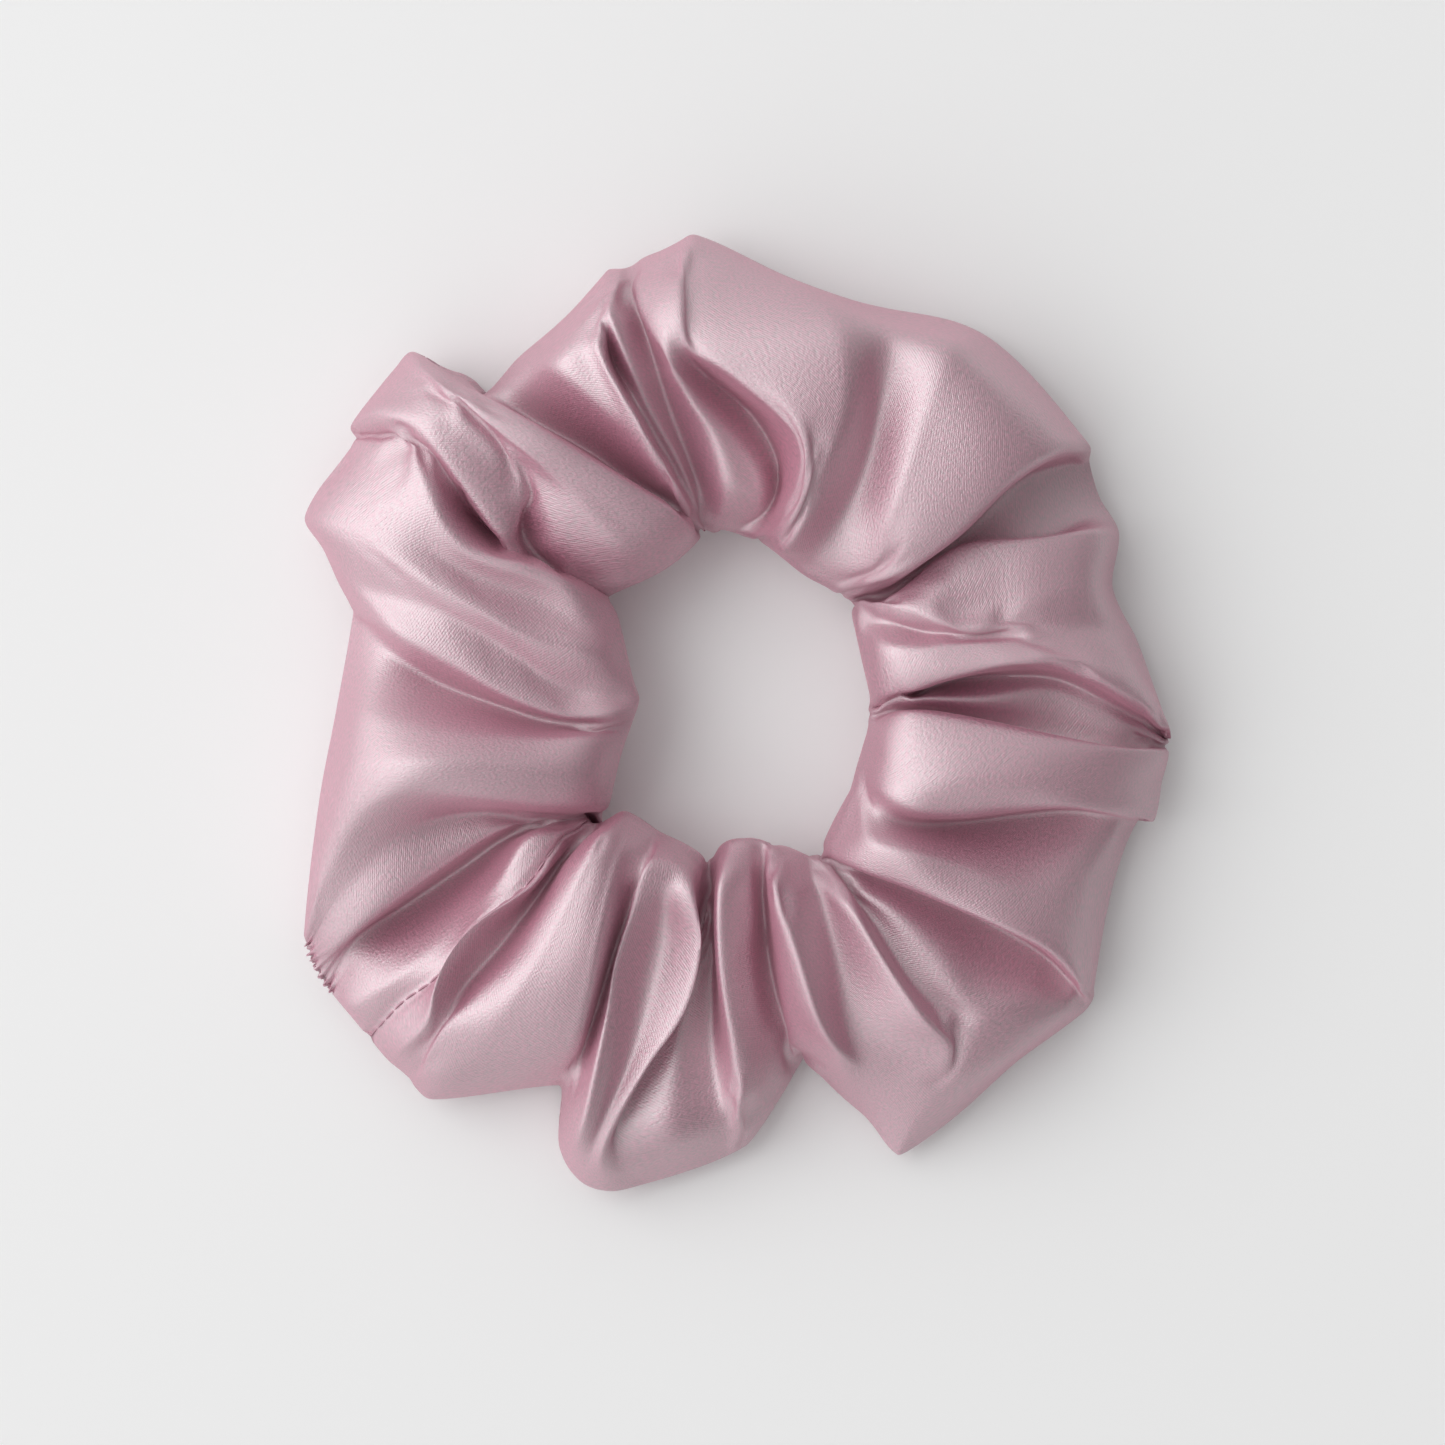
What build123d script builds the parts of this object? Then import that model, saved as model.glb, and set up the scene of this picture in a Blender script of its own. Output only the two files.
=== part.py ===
"""A satin hair scrunchie lying flat: a gathered tube of cloth around a loop of flat elastic.

Millimetres, +Z up, resting on the plane Z = 0. The origin is under the middle of the outline.
"""

import os
from math import cos, degrees, radians, sin

from build123d import *

# Cloth
cloth_wall = 1.0  # two or three plies of gathered satin
outer_edge_inset = 2.2  # the sharp outer edge moves in this many times the wall to stay as thick
seam_allowance = 7.0  # width of cloth inside the long seam
allowance_thickness = 0.8
allowance_depth = 1.6  # from the outer edge to the seam allowance
outer_edge_height = 3.6  # the sewn outer edge lies low
inner_edge_height = 9.5  # where the tube bulges furthest into the hole
crest_share = 0.33  # how far across the tube its crest stands
rest_inset_inner = 7.5  # the flattened underside starts this far out of the hole
rest_inset_outer = 9.0  # and ends this far short of the outer edge
rest_curve_reach = 2.0  # the curve from it up into the hole passes this far outside the hole
rest_curve_height = 2.9  # at this height
rest_curve_rise = 0.4  # share of the wall that this height rises by on the tube's inside

# Elastic
elastic_radius = 26.2  # to the middle of the elastic, relaxed
elastic_offset = (-1.0, 0.5)  # from the middle of the outline to the middle of the hole
elastic_width = 5.0
elastic_thickness = 1.0
elastic_base = 4.0  # height of its lower edge
lap_length = 14.0  # the ends overlap by this much
lap_ramp = 6.0  # length over which one end steps out on to the other
lap_middle = 220.0  # degrees, under the cross seam
ply_gap = 0.04

# Sewing
thread_radius = 0.17
thread_sink = 0.05  # how far a thread is pulled into what it sews
long_seam_share = 0.45  # how far in across the seam allowance its stitches run
stitch_length = 2.3
stitch_gap = 0.35
stitch_leg = 0.3
ditch_width = 0.8
ditch_depth = 0.5
cross_seam_angle = 220.0
closing_start_angle = 207.5
closing_stop_angle = 214.5
overcast_pitch = 1.1
overcast_radius = 1.15
overcast_inset = 0.9  # from the outer edge to the middle of the overcast thread
overcast_points = 6  # corners in each turn of the thread
zigzag_steps = 11
zigzag_share = 0.8  # of the lap's length
zigzag_margin = 0.8  # from the zigzag to the edges of the elastic
zigzag_hole_turn = 0.4  # degrees, so that the thread's two legs in a hole stay side by side

# The folds, anticlockwise: angle in degrees, then the radius of the hole, the radius of the
# outer edge and the height of the crest. High crests are pleats and low ones the tucks between.
folds = [
    (-3.3, 17.8, 58.3, 26.0),
    (10.0, 17.9, 55.0, 22.0),
    (25.2, 18.2, 57.1, 25.0),
    (37.3, 19.4, 58.9, 27.0),
    (47.3, 20.9, 59.8, 21.0),
    (57.0, 18.8, 60.8, 27.5),
    (73.3, 19.6, 57.2, 27.0),
    (84.0, 20.9, 60.2, 24.0),
    (95.2, 23.4, 64.5, 20.5),
    (104.0, 20.9, 61.9, 26.0),
    (114.2, 20.2, 57.4, 24.0),
    (128.0, 21.6, 54.8, 20.5),
    (131.8, 21.8, 65.3, 26.0),
    (143.4, 18.6, 64.2, 27.0),
    (155.3, 15.0, 64.0, 24.5),
    (165.1, 12.9, 53.3, 22.0),
    (178.2, 13.6, 53.6, 25.5),
    (191.0, 16.4, 57.6, 26.0),
    (202.1, 18.4, 62.8, 23.0),
    (211.1, 19.6, 66.4, 19.5),
    (220.0, 21.3, 65.2, 20.5),
    (231.8, 17.2, 66.1, 26.5),
    (245.3, 18.6, 55.4, 21.5),
    (254.2, 19.6, 66.9, 26.0),
    (261.5, 20.2, 62.4, 20.5),
    (270.5, 16.4, 59.0, 25.0),
    (281.3, 16.4, 47.9, 21.0),
    (290.6, 17.6, 63.8, 25.5),
    (300.1, 21.6, 61.2, 20.5),
    (308.8, 20.0, 60.3, 25.0),
    (320.8, 18.8, 61.7, 24.0),
    (326.0, 18.4, 57.6, 22.5),
    (335.0, 18.0, 56.0, 25.5),
    (346.0, 17.8, 58.2, 26.5),
]


def on_ring(angle, radius, height=0.0):
    """A point at that angle and radius from the middle of the hole's ring."""
    turn = radians(angle)
    return Vector(radius * cos(turn), radius * sin(turn), height)


# The ring stands so that the middle of its outline is over the origin.
tips = [on_ring(angle, outer) for angle, _, outer, _ in folds]
ring_centre = Vector(
    -(min(p.X for p in tips) + max(p.X for p in tips)) / 2,
    -(min(p.Y for p in tips) + max(p.Y for p in tips)) / 2,
    0,
)


def radial_plane(angle):
    """The upright plane at that angle: X is outwards from the ring's centre and Y is up."""
    return Plane(origin=ring_centre, x_dir=on_ring(angle, 1), z_dir=on_ring(angle - 90, 1))


def tube_outline(fold, inset):
    """Draws the tube's cross-section at a fold, shrunk by inset, as a closed line."""
    _, hole, edge, crest = fold
    inner = (hole + inset, inner_edge_height)
    outer = (edge - outer_edge_inset * inset, outer_edge_height)
    top = (hole + crest_share * (edge - hole), crest - inset)
    rest_inner = (hole + rest_inset_inner, inset)
    rest_outer = (edge - rest_inset_outer, inset)
    Spline(inner, top, outer, tangents=[(0, 1), (0.5, -1)], tangent_scalars=[1.2, 1.0])
    Line(outer, rest_outer)
    Line(rest_outer, rest_inner)
    ThreePointArc(
        rest_inner,
        (hole + rest_curve_reach + inset, rest_curve_height + rest_curve_rise * inset),
        inner,
    )


def half_rings():
    """The folds in two runs that share their first and last ones."""
    middle = len(folds) // 2
    return [folds[: middle + 1], folds[middle:] + folds[:1]]


def tube_section(fold, inset):
    """The tube's cross-section at a fold, shrunk by inset, as a face."""
    with BuildSketch(radial_plane(fold[0])) as section:
        with BuildLine():
            tube_outline(fold, inset)
        make_face()
    return section.sketch


def allowance_section(fold):
    """The two plies that the long seam joins, inside the outer edge, as a face."""
    angle, _, edge, _ = fold
    with BuildSketch(radial_plane(angle)) as section:
        with Locations((edge - allowance_depth, outer_edge_height)):
            Rectangle(seam_allowance, allowance_thickness, align=(Align.MAX, Align.CENTER))
    return section.sketch


def cross_seam_fold():
    """The fold in whose plane the two ends of the tube are joined."""
    return next(fold for fold in folds if fold[0] == cross_seam_angle)


with BuildPart() as satin_cover:
    for run in half_rings():
        loft([tube_section(fold, 0) for fold in run], ruled=True)
    for run in half_rings():
        loft([tube_section(fold, cloth_wall) for fold in run], ruled=True, mode=Mode.SUBTRACT)
    for run in half_rings():
        loft([allowance_section(fold) for fold in run], ruled=True)
    with BuildSketch(radial_plane(cross_seam_angle)):
        with BuildLine():
            tube_outline(cross_seam_fold(), -ditch_depth)
        make_face()
        with BuildLine():
            tube_outline(cross_seam_fold(), ditch_depth)
        make_face(mode=Mode.SUBTRACT)
    extrude(amount=ditch_width / 2, both=True, mode=Mode.SUBTRACT)
satin_cover.part.label = "satin_cover"


def elastic_angle(length):
    """The angle in degrees that a length of elastic covers."""
    return degrees(length / elastic_radius)


elastic_centre = ring_centre + Vector(*elastic_offset)
lap_angle = elastic_angle(lap_length)
ramp_angle = elastic_angle(lap_ramp)
lap_radius = elastic_radius + elastic_thickness + ply_gap
lap_start = lap_middle - lap_angle / 2

with BuildPart() as elastic_band:
    with BuildSketch(Plane.XY.offset(elastic_base)):
        with BuildLine(Plane(origin=elastic_centre)):
            loop = CenterArc((0, 0), elastic_radius, lap_start, 360 - ramp_angle)
            lap = CenterArc((0, 0), lap_radius, lap_start, lap_angle)
            Spline(loop @ 1, lap @ 0, tangents=[loop % 1, lap % 0])
        trace(line_width=elastic_thickness)
    extrude(amount=elastic_width)
elastic_band.part.label = "elastic_band"


def strand(points, closed=False):
    """A thread that runs straight from each point to the next, rounded at the turns."""
    stops = points[1:] + points[:1] if closed else points[1:]
    with BuildPart() as thread:
        for start, stop in zip(points, stops):
            with BuildSketch(Plane(origin=start, z_dir=stop - start)):
                Circle(thread_radius)
            extrude(amount=(stop - start).length)
        with Locations(*points):
            Sphere(thread_radius)
    return thread


def long_seam_path(side):
    """The corners of the long seam's thread; side is 1 above the seam allowance, -1 below."""
    height = outer_edge_height + side * (allowance_thickness / 2 + thread_radius - thread_sink)
    reach = allowance_depth + long_seam_share * seam_allowance
    return [on_ring(angle, edge - reach, height) + ring_centre for angle, _, edge, _ in folds]


long_seam_needle_thread = strand(long_seam_path(1), closed=True)
long_seam_needle_thread.part.label = "long_seam_needle_thread"

long_seam_bobbin_thread = strand(long_seam_path(-1), closed=True)
long_seam_bobbin_thread.part.label = "long_seam_bobbin_thread"


with BuildPart() as stitch:
    # One lockstitch lying along X: a float on the cloth, and a leg down to the other thread.
    float_length = stitch_length - stitch_gap
    Cylinder(thread_radius, float_length, rotation=(0, 90, 0))
    with Locations((-float_length / 2, 0, 0), (float_length / 2, 0, 0)):
        Sphere(thread_radius)
    with Locations((-float_length / 2, 0, 0)):
        Cylinder(thread_radius, stitch_leg, align=(Align.CENTER, Align.CENTER, Align.MAX))


def cross_seam_row(inset, side):
    """The cross seam's stitches, round the tube; side is 1 outside the tube and -1 inside."""
    plane = radial_plane(cross_seam_angle)
    with BuildLine(plane) as path:
        tube_outline(cross_seam_fold(), inset)
    line = path.wire()
    count = int(line.length / stitch_length)
    places = []
    for step in range(count):
        share = (step + 0.5) / count
        along = line % share
        out = along.cross(plane.z_dir)
        if out.dot(line @ share - line.center()) < 0:
            out = -out
        places.append(Plane(origin=line @ share, x_dir=along, z_dir=out * side).location)
    with BuildPart() as row:
        with Locations(*places):
            add(stitch.part)
    return row


cross_seam_needle_thread = cross_seam_row(ditch_depth - thread_radius + thread_sink, 1)
cross_seam_needle_thread.part.label = "cross_seam_needle_thread"

cross_seam_bobbin_thread = cross_seam_row(cloth_wall + thread_radius - thread_sink, -1)
cross_seam_bobbin_thread.part.label = "cross_seam_bobbin_thread"


def edge_point(angle):
    """The outer edge of the cover at an angle, between the folds beside it."""
    for before, after in zip(folds, folds[1:]):
        if before[0] <= angle <= after[0]:
            share = (angle - before[0]) / (after[0] - before[0])
            start = on_ring(before[0], before[2], outer_edge_height)
            stop = on_ring(after[0], after[2], outer_edge_height)
            return start + (stop - start) * share + ring_centre
    raise ValueError(f"no fold on both sides of {angle} degrees")


def overcast_path():
    """The thread sewn by hand round the outer edge, where the tube was turned right side out."""
    start = edge_point(closing_start_angle)
    along = edge_point(closing_stop_angle) - start
    inward = -on_ring((closing_start_angle + closing_stop_angle) / 2, 1)
    axis = start + inward * overcast_inset
    turns = int(along.length / overcast_pitch)
    points = []
    for step in range(turns * overcast_points + 1):
        winding = radians(360 * step / overcast_points)
        out = inward * cos(winding) + Vector(0, 0, 1) * sin(winding)
        points.append(axis + along * (step / (turns * overcast_points)) + out * overcast_radius)
    return points


closing_seam_thread = strand(overcast_path())
closing_seam_thread.part.label = "closing_seam_thread"


def zigzag_path(radius, hole_radius):
    """A zigzag on a face of the lap, going into the elastic as far as hole_radius at each turn."""
    low = elastic_base + zigzag_margin
    high = elastic_base + elastic_width - zigzag_margin
    span = lap_angle * zigzag_share
    points = []
    for step in range(zigzag_steps + 1):
        angle = lap_middle - span / 2 + span * step / zigzag_steps
        height = high if step % 2 else low
        points.append(on_ring(angle, radius, height) + elastic_centre)
        points.append(on_ring(angle, hole_radius, height) + elastic_centre)
        points.append(on_ring(angle + zigzag_hole_turn, radius, height) + elastic_centre)
    return points


lap_outer_face = lap_radius + elastic_thickness / 2
lap_inner_face = elastic_radius - elastic_thickness / 2

elastic_join_needle_thread = strand(
    zigzag_path(lap_outer_face + thread_radius - thread_sink, lap_outer_face - elastic_thickness / 2)
)
elastic_join_needle_thread.part.label = "elastic_join_needle_thread"

elastic_join_bobbin_thread = strand(
    zigzag_path(lap_inner_face - thread_radius + thread_sink, lap_inner_face + elastic_thickness / 2)
)
elastic_join_bobbin_thread.part.label = "elastic_join_bobbin_thread"


os.makedirs("parts", exist_ok=True)
for piece in [
    satin_cover,
    elastic_band,
    long_seam_needle_thread,
    long_seam_bobbin_thread,
    cross_seam_needle_thread,
    cross_seam_bobbin_thread,
    closing_seam_thread,
    elastic_join_needle_thread,
    elastic_join_bobbin_thread,
]:
    export_step(piece.part, f"parts/{piece.part.label}.step")
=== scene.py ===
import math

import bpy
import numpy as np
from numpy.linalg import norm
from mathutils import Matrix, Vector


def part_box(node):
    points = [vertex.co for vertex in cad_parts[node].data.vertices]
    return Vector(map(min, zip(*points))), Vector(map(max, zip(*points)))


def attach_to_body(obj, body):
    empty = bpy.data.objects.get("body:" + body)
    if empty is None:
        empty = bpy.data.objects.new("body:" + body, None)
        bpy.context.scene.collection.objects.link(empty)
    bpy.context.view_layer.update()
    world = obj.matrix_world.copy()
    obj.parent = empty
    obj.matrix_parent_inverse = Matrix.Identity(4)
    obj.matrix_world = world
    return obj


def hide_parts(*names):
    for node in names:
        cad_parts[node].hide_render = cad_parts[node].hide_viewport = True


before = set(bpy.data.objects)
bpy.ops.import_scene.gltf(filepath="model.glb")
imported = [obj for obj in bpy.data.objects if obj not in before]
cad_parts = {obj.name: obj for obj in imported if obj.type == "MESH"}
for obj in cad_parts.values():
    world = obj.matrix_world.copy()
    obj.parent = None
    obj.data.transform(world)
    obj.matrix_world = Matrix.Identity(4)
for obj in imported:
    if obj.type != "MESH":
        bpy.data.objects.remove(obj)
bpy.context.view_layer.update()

# The looks of a satin scrunchie that lies flat: a cover of gathered cloth round a hidden loop of
# elastic, and the threads that sew them. The cover starts as folds drawn line by line round the ring.
# A cloth simulation, whose rest shape is the tube as it was cut and sewn, then settles them. Sizes are
# in millimetres until a mesh is made, which is in metres.

MM = 0.001

# The cover as it is cut
top_width = 50.0  # round the tube, from the hole over the top to the long seam
under_width = 46.0  # and from there back to the hole underneath
seam_allowance = 7.0
cloth_thickness = 0.2

# The elastic, where the CAD model has it
elastic_low, elastic_high = [np.array(corner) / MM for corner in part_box("elastic_band")]
elastic_thickness = 1.0
elastic_centre = (elastic_low + elastic_high)[:2] / 2
elastic_radius = (elastic_high - elastic_low)[0] / 2 - elastic_thickness / 2
elastic_base = elastic_low[2]
elastic_top = elastic_high[2]
elastic_room = 0.8  # the cloth stays this far off it
lap_middle = 220.0  # where its ends are joined, in degrees round the ring
lap_length = 14.0
lap_ramp = 6.0  # over which the outer end climbs onto the inner one
ply_gap = 0.04  # between the two ends

# Sewing
thread_radius = 0.13
stitch_length = 2.3
stitch_gap = 0.35  # from where one stitch goes into the cloth to where the next comes out

# The cloth's net: rows run round the tube and columns along the ring
top_rows = 30
under_rows = 22
column_pitch = 2.0
least_width = 1.6  # of cloth between two fold lines
ease_percentile = 52  # which of the gaps along two fold lines is the width of cloth between them
fine_columns = 4  # columns of the finished cloth for each simulated one
fine_rows = 2  # and rows for each simulated one

PLEAT = "pleat"  # a line along cloth that stands up
TUCK = "tuck"  # a line along cloth that lies deep

# The folds, clockwise from the cross seam. Each line goes over the top of the tube, from the hole to
# the outer edge, through points (x, y, height).
folds = [
    # The cross seam and the open lobe at lower left, with the deep tuck beside it.
    (PLEAT, [(-19.5, -14.5, 11), (-24, -18.5, 15.5), (-28, -23, 16.5), (-34, -27.5, 16.5),
      (-39.5, -34.5, 14), (-44.5, -38, 11), (-49.5, -43.5, 5)]),
    (PLEAT, [(-20, -14, 11), (-27.5, -16.5, 16), (-31.5, -22.5, 15), (-38, -29, 12.5), (-45, -35, 12),
      (-51.5, -39.5, 8), (-52, -40.5, 5)]),
    (TUCK, [(-20, -14, 9), (-29, -16, 8), (-38, -21.5, 5.5), (-45.5, -26.5, 5), (-51, -30.5, 7),
      (-55, -37, 4)]),
    (PLEAT, [(-20.5, -13.5, 10), (-31.5, -15.5, 12.5), (-39.5, -20.5, 13.5), (-47.5, -26.5, 13),
      (-53, -31, 10), (-57, -33.5, 5)]),
    # The arch that hangs over that tuck, and the broad smooth lobe on the left.
    (TUCK, [(-20.5, -13.5, 10), (-29, -13.5, 11), (-37, -13.5, 12.5), (-45, -17, 14.5), (-52, -24, 12.5),
      (-57.5, -31.5, 5)]),
    (PLEAT, [(-16.5, -13.5, 12), (-23.5, -12.5, 17), (-31.5, -11.5, 20), (-43.5, -10.5, 21),
      (-50, -13.5, 18), (-55, -21, 13), (-58, -29.5, 6)]),
    (PLEAT, [(-16.5, -11, 12), (-19.5, -9, 18), (-31.5, -7, 22), (-42, -6.5, 22.5), (-50, -7, 18),
      (-56, -11.5, 5)]),
    (PLEAT, [(-15, -4.5, 12), (-18, -3.5, 17), (-26, -3.5, 18.5), (-38, -2.5, 19.5), (-49, -0.5, 16),
      (-54, -1, 5)]),
    # The crease across the left side and the small wrinkles above it.
    (TUCK, [(-13, 0, 12.5), (-15.5, -1.5, 14), (-23.5, -1.5, 13), (-31.5, 1, 12), (-39.5, 4, 11.5),
      (-46, 8, 11.5), (-51.5, 13, 5)]),
    (PLEAT, [(-12.5, 2, 13), (-15, 0, 16), (-22, -0.5, 17), (-29, 1.5, 18), (-37, 6, 18.5),
      (-45, 10.5, 17), (-51.5, 14, 7)]),
    (TUCK, [(-13, 3, 13), (-17.5, 3, 15), (-23.5, 3.5, 16), (-31.5, 9, 18), (-39.5, 13.5, 18.5),
      (-53.5, 17.5, 5)]),
    (PLEAT, [(-14, 7, 13), (-17.5, 7.5, 18), (-26, 9.5, 20), (-34, 13.5, 21), (-42, 17.5, 20),
      (-55.5, 22, 5)]),
    (TUCK, [(-15.5, 12.5, 13), (-19.5, 12, 17), (-26, 14.5, 17.5), (-34, 17.5, 18.5), (-45, 23, 19),
      (-58, 26.5, 5.5)]),
    # The roll at upper left, with the dark gap under it and the dimple.
    (PLEAT, [(-16.5, 15, 13), (-21, 17, 18), (-27.5, 19.5, 20), (-34.5, 21.5, 20.5), (-38, 24.5, 21),
      (-40, 28.5, 21), (-43, 35, 18), (-51, 36.5, 6)]),
    (TUCK, [(-16.5, 15.5, 10), (-23.5, 19, 9.5), (-30, 22, 8.5), (-34, 25.5, 10), (-37, 30, 16.5),
      (-42.5, 36.5, 17.5), (-51.5, 37.5, 5)]),
    (PLEAT, [(-17, 15.5, 11), (-21.5, 17, 12), (-26, 18.5, 14), (-30, 21, 17), (-35, 27.5, 19.5),
      (-38.5, 33, 21), (-42, 37, 20.5), (-47.5, 39.5, 16), (-51.5, 38.5, 8)]),
    (TUCK, [(-17.5, 15.5, 11), (-23, 18, 11), (-27, 21, 11.5), (-28.5, 24.5, 12.5), (-27.5, 28, 17),
      (-31.5, 34.5, 20.5), (-38, 40, 21), (-48, 43.5, 6)]),
    (PLEAT, [(-18, 15.5, 12), (-23, 20.5, 15), (-25, 25.5, 18), (-26.5, 30, 19), (-31.5, 36.5, 21),
      (-38, 42.5, 20), (-45.5, 46.5, 6)]),
    # The long lobe at upper left.
    (PLEAT, [(-11.5, 17, 12), (-15.5, 21.5, 18), (-21.5, 28.5, 21), (-29, 35, 23), (-37, 41, 21),
      (-43.5, 48.5, 6)]),
    (PLEAT, [(-5, 22.5, 11), (-6, 25, 16), (-13, 29.5, 20), (-18, 32.5, 21.5), (-26, 37.5, 22),
      (-33, 41.5, 18), (-37.5, 44.5, 6)]),
    (TUCK, [(-5, 23.5, 8.5), (-7, 26.5, 10), (-13, 30, 10), (-19.5, 34.5, 11), (-27.5, 39, 11),
      (-32, 42, 10.5), (-34.5, 42.5, 4)]),
    (PLEAT, [(-5, 24, 10), (-8, 28.5, 17), (-15.5, 37.5, 20), (-23.5, 45.5, 20), (-29, 48, 5)]),
    (PLEAT, [(-5, 24, 10.5), (-8.5, 29.5, 18), (-15, 39.5, 21.5), (-21, 49, 19.5), (-23, 53, 5)]),
    # The narrow loop and the strip beside it, at the top.
    (PLEAT, [(-5, 24, 11), (-7.5, 28.5, 18), (-13, 37.5, 23), (-18.5, 49, 22), (-18, 58.5, 6)]),
    (TUCK, [(-4.5, 24, 10.5), (-9, 33, 15.5), (-13, 40, 18), (-16.5, 46.5, 16), (-17.5, 51, 20.5),
      (-17, 59.5, 6)]),
    (PLEAT, [(-4, 24.5, 9.5), (-7.5, 33, 16), (-12, 41, 19.5), (-15, 47.5, 21.5), (-16.5, 52.5, 21),
      (-15.5, 59.5, 6)]),
    (TUCK, [(-3.5, 24.5, 9), (-5.5, 31.5, 12), (-8.5, 39, 14.5), (-11.5, 48.5, 16), (-13.5, 55, 13.5),
      (-14, 60, 5)]),
    (PLEAT, [(-3.5, 24.5, 11), (-1.5, 29.5, 17), (-3.5, 36.5, 19), (-6.5, 41, 20), (-10, 47, 21),
      (-13.5, 53.5, 17), (-12.5, 61, 6)]),
    (PLEAT, [(-1, 24, 10), (3.5, 26.5, 14), (3.5, 30.5, 16), (0, 36.5, 17.5), (-5, 42, 18.5),
      (-8.5, 46.5, 21.5), (-9.5, 52.5, 21), (-10, 62, 6)]),
    # The deep roll at the top and the two wide lobes on its right.
    (TUCK, [(0.5, 24, 9), (5, 27.5, 11), (5.5, 33, 11), (2, 39.5, 11.5), (-4, 44.5, 15), (-7.5, 48.5, 22),
      (-7.5, 54, 21), (-8, 63, 6)]),
    (PLEAT, [(2, 23.5, 12), (6, 27, 19), (8.5, 32.5, 23.5), (7, 37, 24), (1, 42.5, 23.5),
      (-5, 48.5, 22.5), (-6, 55, 19), (-5.5, 64, 7)]),
    (PLEAT, [(4, 22.5, 12), (6, 20.5, 17), (8, 23, 20), (10.5, 29.5, 23), (14, 39, 24.5),
      (13.5, 49.5, 23.5), (7, 58.5, 5)]),
    (TUCK, [(8.5, 18, 12.5), (12, 22.5, 16), (16.5, 31, 18), (19, 41.5, 19.5), (20, 49, 20.5),
      (17, 55, 5)]),
    (PLEAT, [(12, 16.5, 12), (17.5, 20, 18), (20.5, 27, 22), (24, 37.5, 23), (28, 47, 22), (33, 51, 5)]),
    # The overhang at upper right and the flat band under it.
    (PLEAT, [(14, 15.5, 12), (19, 16.5, 17), (28, 22.5, 21), (36, 30.5, 22), (42, 34.5, 19),
      (47, 36, 8)]),
    (TUCK, [(15, 15, 8.5), (20.5, 16.5, 9.5), (29.5, 23.5, 9.5), (38, 31, 9.5), (47.5, 33.5, 4)]),
    (TUCK, [(15, 14.5, 10), (19, 14.5, 10.5), (30, 21, 11.5), (40.5, 22.5, 11.5), (49, 28.5, 4)]),
    (PLEAT, [(15.5, 14.5, 10), (20, 15, 13.5), (28.5, 22, 15.5), (40.5, 23.5, 15.5), (48, 24.5, 12),
      (51.5, 24.5, 4)]),
    (PLEAT, [(15.5, 14, 11), (19, 14.5, 16), (25, 12.5, 18.5), (30.5, 10.5, 18), (40.5, 15, 17),
      (47, 16.5, 14), (50.5, 16.5, 5)]),
    (TUCK, [(15.5, 12, 11.5), (20, 12, 14), (25, 10.5, 15.5), (30, 10.5, 17.5), (40.5, 11.5, 17),
      (48.5, 11.5, 13), (53.5, 10.5, 5)]),
    (PLEAT, [(16, 9.5, 12), (18.5, 9, 17), (24, 8.5, 19), (30, 9, 19), (40.5, 9, 18), (50, 8.5, 14),
      (55, 6.5, 5)]),
    # The lip under the flat band and the tuck that it covers.
    (PLEAT, [(17.5, 1.5, 12), (20, 1.5, 16), (27, 4, 19), (35, 6, 20), (42, 6.5, 19.5), (50, 3.5, 17),
      (55, 0.5, 13), (58, -3, 8)]),
    (TUCK, [(17.5, 0.5, 8.5), (20.5, 2, 9.5), (28.5, 4.5, 9.5), (36.5, 5, 10), (43, 4.5, 11), (50, 1, 11),
      (58, -3.5, 4)]),
    (PLEAT, [(17.5, 0, 11), (20, 2, 14), (24.5, 2, 15), (32.5, 2, 14), (42, 3, 12), (51, -1, 11),
      (58, -4, 6)]),
    (TUCK, [(17.5, -0.5, 10), (22, 0, 10.5), (31, -1.5, 11), (42, -3.5, 11), (51, -5.5, 11),
      (57.5, -4.5, 5)]),
    # The right-hand lobes.
    (PLEAT, [(17.5, -1.5, 11), (20, 0.5, 15), (23, 0.5, 17), (30, -0.5, 18), (42, -3, 18), (50, -4.5, 16),
      (56.5, -5, 10), (58, -5.5, 6)]),
    (PLEAT, [(17.5, -4, 12), (20, -7, 18), (26, -8.5, 21), (35, -9, 21), (43, -9.5, 19), (50, -11, 15),
      (57, -9.5, 6)]),
    (PLEAT, [(16.5, -6.5, 12), (19, -10.5, 18), (22.5, -12.5, 20), (28.5, -13.5, 19), (35, -13, 18.5),
      (43, -12.5, 18), (50, -13.5, 14), (56, -14.5, 7)]),
    (TUCK, [(16, -9, 12.5), (19, -13.5, 16), (23, -14.5, 15), (30, -14.5, 11.5), (38, -13.5, 9.5),
      (44.5, -13, 9), (51, -14, 9), (54, -14.5, 4)]),
    (PLEAT, [(13.5, -14.5, 12), (17, -17, 18), (22.5, -18.5, 20), (30, -20.5, 18.5), (38, -23.5, 17),
      (46, -22.5, 12), (50.5, -23.5, 5)]),
    # The lobes at lower right.
    (PLEAT, [(11.5, -19, 12), (15, -20.5, 16), (22, -23, 18), (35, -28.5, 19), (42, -32, 17),
      (46, -36.5, 12), (48, -36.5, 6)]),
    (TUCK, [(11, -19.5, 9.5), (16.5, -20.5, 11.5), (24.5, -23.5, 12), (35, -28.5, 9), (42, -33, 8),
      (46.5, -38, 8), (48, -38.5, 4)]),
    (PLEAT, [(11, -19.5, 11), (15, -22.5, 13.5), (20, -25.5, 15.5), (26.5, -31.5, 16), (31, -37, 16),
      (38, -39, 14), (43, -40.5, 10), (46.5, -40.5, 4)]),
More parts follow.
